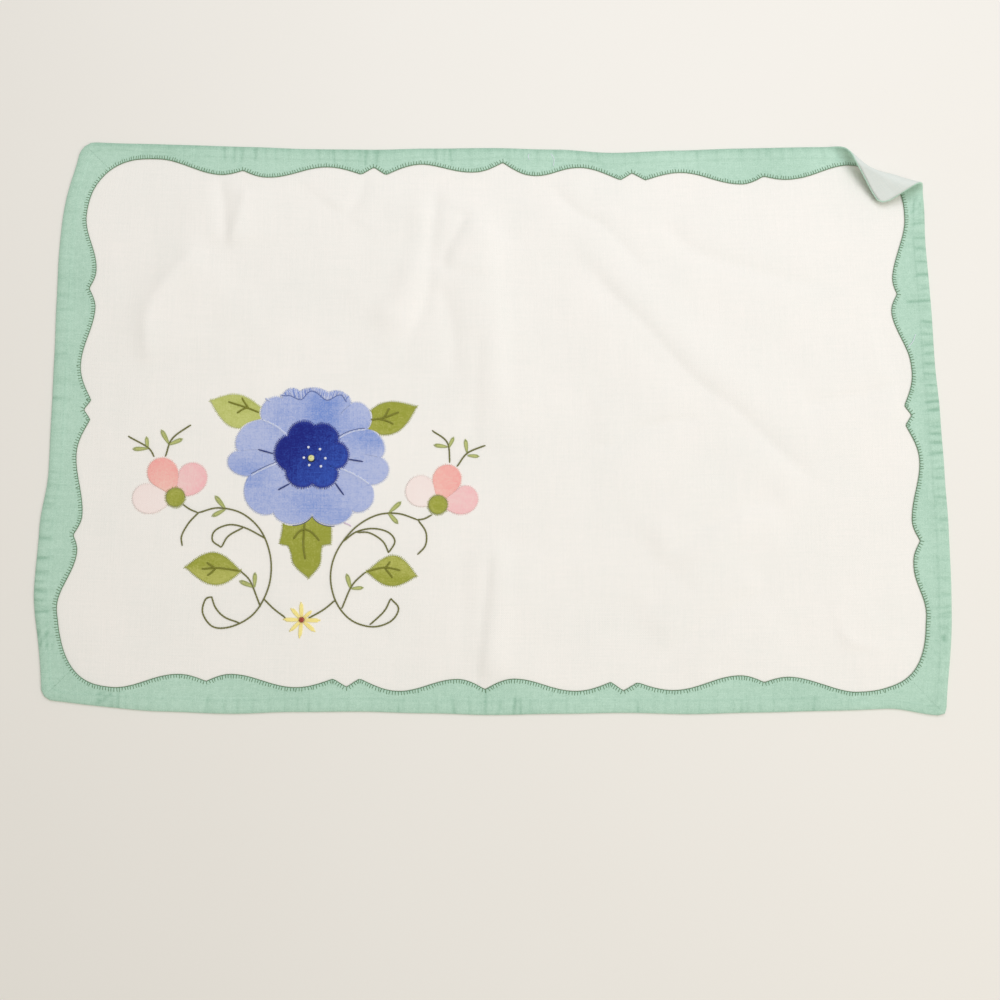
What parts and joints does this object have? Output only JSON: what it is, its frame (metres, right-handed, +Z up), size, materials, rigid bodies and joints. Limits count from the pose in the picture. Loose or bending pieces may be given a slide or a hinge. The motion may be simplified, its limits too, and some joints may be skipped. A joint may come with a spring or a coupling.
{
  "type": "fabric placemat",
  "caption": "Oblong cloth placemat with a scalloped mint border, an applique flower spray and one far corner turned over its face, lying flat.",
  "frame": {"origin": "middle of the mat's box, on the surface that its underside rests on", "axes": "+X to the right along the long side, +Y away from the sitter, +Z up out of the decorated face"},
  "size_m": [0.4358, 0.2829, 0.0092],
  "materials": {
    "ground_cloth": "matte plain-woven cotton and linen, slightly crumpled",
    "mint_cloth": "matte plain-woven cotton, puckered along its turned edge",
    "blue_cloth": "matte cotton, unevenly dyed from mid blue to lilac",
    "deep_blue_cloth": "matte cotton with a fuzzy stitched rim",
    "leaf_cloth": "matte cotton with a stitched rim",
    "pale_leaf_cloth": "matte cotton, faded",
    "coral_cloth": "matte cotton",
    "pink_cloth": "matte cotton",
    "pale_pink_cloth": "matte thin cotton",
    "stem_thread": "stranded cotton embroidery thread, soft sheen",
    "border_thread": "fine twisted cotton sewing thread, soft sheen",
    "light_thread": "fine sewing thread, soft sheen",
    "yellow_thread": "stranded cotton embroidery thread, soft sheen"
  },
  "bodies": {
    "root": {"ground": "ground_cloth", "band_bottom": "mint_cloth", "band_right": "mint_cloth", "band_top": "mint_cloth", "band_left": "mint_cloth", "petal_top": "blue_cloth", "petal_left": "blue_cloth", "petal_bottom": "blue_cloth", "petal_right": "blue_cloth", "flower_centre": "deep_blue_cloth", "leaf_upper_left": "pale_leaf_cloth", "leaf_upper_right": "leaf_cloth", "leaf_lower": "leaf_cloth", "leaf_side_left": "leaf_cloth", "leaf_side_right": "leaf_cloth", "bud_left_coral": "coral_cloth", "bud_left_pink": "pink_cloth", "bud_left_pale": "pale_pink_cloth", "bud_left_calyx": "leaf_cloth", "bud_right_coral": "coral_cloth", "bud_right_pink": "pink_cloth", "bud_right_pale": "pale_pink_cloth", "bud_right_calyx": "leaf_cloth"}
  },
  "joints": []
}
